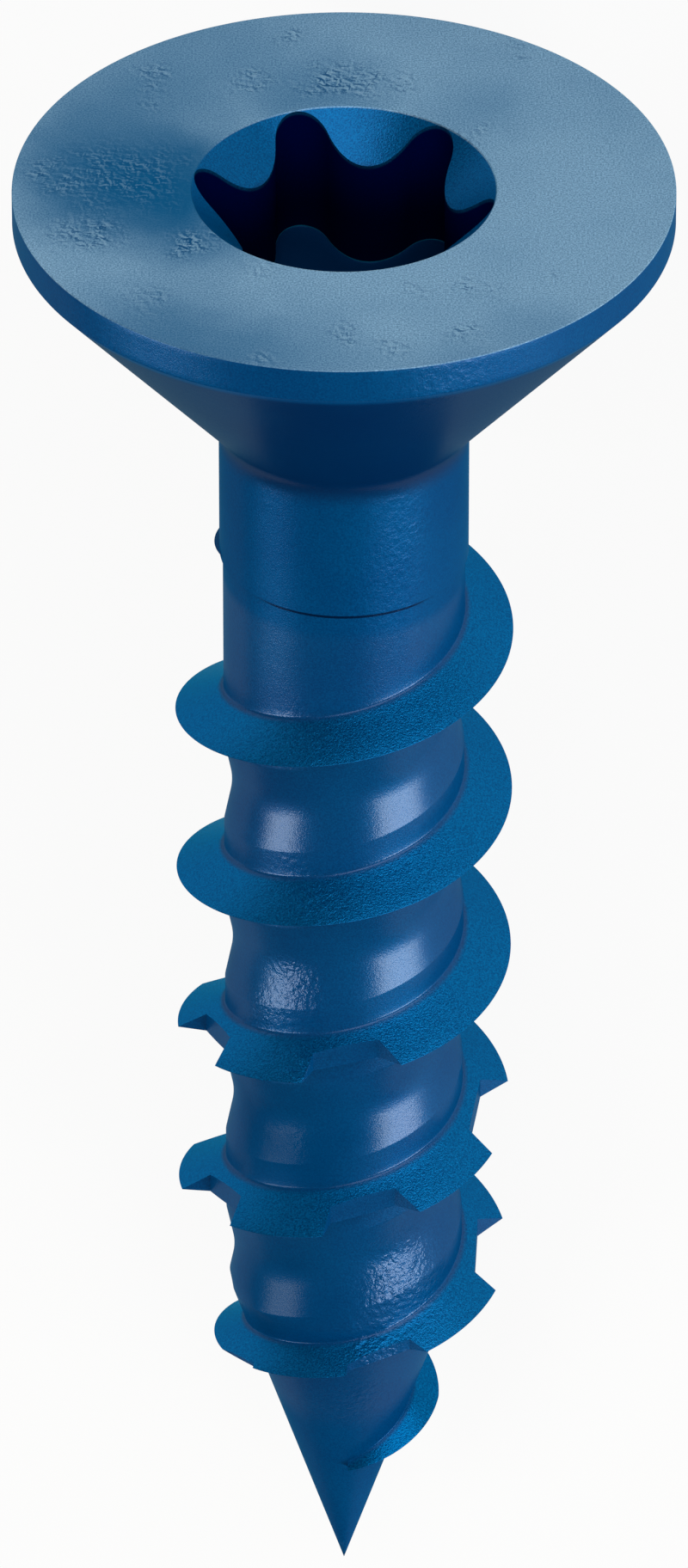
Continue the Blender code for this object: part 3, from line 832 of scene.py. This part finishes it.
def lacquer():
    n = Nodes("blue_lacquer")
    on = Surfaces(n)
    cloud = n.noise(on.place, 0.30, 3.0, 0.55, 0.4)
    grain = n.noise(on.place, 24.0, 1.5, 0.7)
    specks = n.noise(on.place, *SPECK_NOISE)
    fleck = n.ramp(grain, 0.30, 0.70)

    outside = n.mix(on.top, body_color(n, on, cloud, fleck), top_color(n, on, cloud, fleck, specks))
    # The socket takes its painted shade.
    n.link(n.mix(on.sunk, outside, socket_shade_color(n, on)), n.shader.inputs["Base Color"])
    rough = n.math("ADD", n.times(grain, 0.20), 0.30)
    rough = n.math("ADD", rough, n.times(on.dull_and_shaded, 0.20))
    n.link(n.times(rough, n.ramp(on.flank, 0.0, 1.0, 1.0, 0.85)), n.shader.inputs["Roughness"])
    n.link(n.ramp(on.flank, 0.0, 1.0, 0.30, 0.74), n.shader.inputs["Metallic"])
    n.shader.inputs["Specular IOR Level"].default_value = 0.0
    n.shader.inputs["Specular Tint"].default_value = (0.0, 0.60, 0.75, 1)
    n.link(gloss_weight(n, on), n.shader.inputs["Coat Weight"])
    n.shader.inputs["Coat IOR"].default_value = 3.0
    n.shader.inputs["Coat Roughness"].default_value = 0.23
    relief = surface_relief(n, on, grain, specks)
    n.link(relief, n.shader.inputs["Normal"])
    n.link(relief, n.shader.inputs["Coat Normal"])
    return n.material


def pale_floor():
    """Diffuse and pale, and nearly white to the camera and to reflections, with the shadow kept."""
    n = Nodes("studio_floor")
    n.shader.inputs["Base Color"].default_value = FLOOR_COLOR
    n.shader.inputs["Roughness"].default_value = 0.9
    n.shader.inputs["Specular IOR Level"].default_value = 0.0
    light = n.add("ShaderNodeLightPath")
    seen = n.math("MAXIMUM", light.outputs["Is Camera Ray"], light.outputs["Is Glossy Ray"])
    seen = n.math("MAXIMUM", seen, light.outputs["Is Transmission Ray"])
    glow = n.add("ShaderNodeEmission")
    glow.inputs["Color"].default_value = (1, 1, 1, 1)
    glow.inputs["Strength"].default_value = 1.0
    mixed = n.add("ShaderNodeMixShader")
    n.link(n.times(seen, FLOOR_GLOW), mixed.inputs[0])
    n.link(n.shader.outputs[0], mixed.inputs[1])
    n.link(glow.outputs[0], mixed.inputs[2])
    n.link(mixed.outputs[0], n.tree.nodes["Material Output"].inputs["Surface"])
    return n.material


# Studio: camera and lamps, placed in the screw's own frame and carried with it, over a level floor.
CAMERA_PLACE = Vector((0, -284.38, 182.57)) * MM
CAMERA_FORWARD = Vector((0, 0.81935, -0.57330))
CAMERA_UP = Vector((0, 0.57330, 0.81935))
CAMERA_LENS = 343.5
LAMP_DISTANCE = 0.45
LAMP_WARMTH = (1.0, 1.0, 0.90)
# The skin's rim reaches a thousandth of a millimetre below the CAD's, so the floor is a little lower.
FLOOR_HEIGHT = -0.012 * MM
FLOOR_REACH = 6.0
FLOOR_COLOR = (0.62, 0.62, 0.62, 1)
FLOOR_GLOW = 0.92
WORLD_STRENGTH = 0.12


def place_camera():
    data = bpy.data.cameras.new("camera")
    data.lens = CAMERA_LENS
    data.sensor_width = 36
    data.sensor_fit = "AUTO"
    data.clip_start = 0.01
    data.clip_end = 10
    camera = bpy.data.objects.new("camera", data)
    bpy.context.scene.collection.objects.link(camera)
    back = -CAMERA_FORWARD.normalized()
    right = CAMERA_UP.cross(back).normalized()
    axes = Matrix((right, back.cross(right), back)).transposed().to_4x4()
    camera.matrix_world = POSE @ Matrix.Translation(CAMERA_PLACE) @ axes
    bpy.context.scene.camera = camera


def direction(azimuth, elevation):
    """Unit vector in the screw's frame. Azimuth 0 is towards the camera's side, and grows to its right."""
    turn, rise = math.radians(azimuth), math.radians(elevation)
    return Vector((math.sin(turn) * math.cos(rise), -math.cos(turn) * math.cos(rise), math.sin(rise)))


def soft_box(name, azimuth, elevation, width, height, radiance, color=(1, 1, 1)):
    """A rectangular lamp that fills width by height degrees as the screw sees it."""
    data = bpy.data.lights.new(name, "AREA")
    data.shape = "RECTANGLE"
    data.size = 2 * LAMP_DISTANCE * math.tan(math.radians(width / 2))
    data.size_y = 2 * LAMP_DISTANCE * math.tan(math.radians(height / 2))
    data.energy = radiance * math.pi * data.size * data.size_y
    data.color = color
    lamp = bpy.data.objects.new(name, data)
    bpy.context.scene.collection.objects.link(lamp)
    away = direction(azimuth, elevation)
    middle = Vector((0, 0, -SCREW_LENGTH / 2))
    side = Vector((0, 0, 1)).cross(away).normalized()
    axes = Matrix((side, away.cross(side), away)).transposed().to_4x4()
    lamp.matrix_world = POSE @ Matrix.Translation(middle + away * LAMP_DISTANCE) @ axes


def build_studio():
    mesh = bpy.data.meshes.new("floor")
    signs = [(-1, -1), (1, -1), (1, 1), (-1, 1)]
    corners = [(x * FLOOR_REACH, y * FLOOR_REACH, FLOOR_HEIGHT) for x, y in signs]
    mesh.from_pydata(corners, [], [(0, 1, 2, 3)])
    mesh.materials.append(pale_floor())
    ground = bpy.data.objects.new("floor", mesh)
    bpy.context.scene.collection.objects.link(ground)

    soft_box("lamp_right", 50, -14, 46, 15, 16.5, LAMP_WARMTH)
    soft_box("lamp_left", -65, -17, 30, 15, 13.0, LAMP_WARMTH)
    soft_box("lamp_key", 10, 52, 60, 40, 2.9)

    world = bpy.data.worlds.new("studio")
    bpy.context.scene.world = world
    world.use_nodes = True
    background = world.node_tree.nodes["Background"]
    background.inputs["Color"].default_value = (1, 1, 1, 1)
    background.inputs["Strength"].default_value = WORLD_STRENGTH
    bpy.context.scene.view_settings.view_transform = "Standard"


screw = build_skin()
screw.data.materials.clear()
screw.data.materials.append(lacquer())
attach(screw, "root")
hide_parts("concrete_screw")
build_studio()
place_camera()
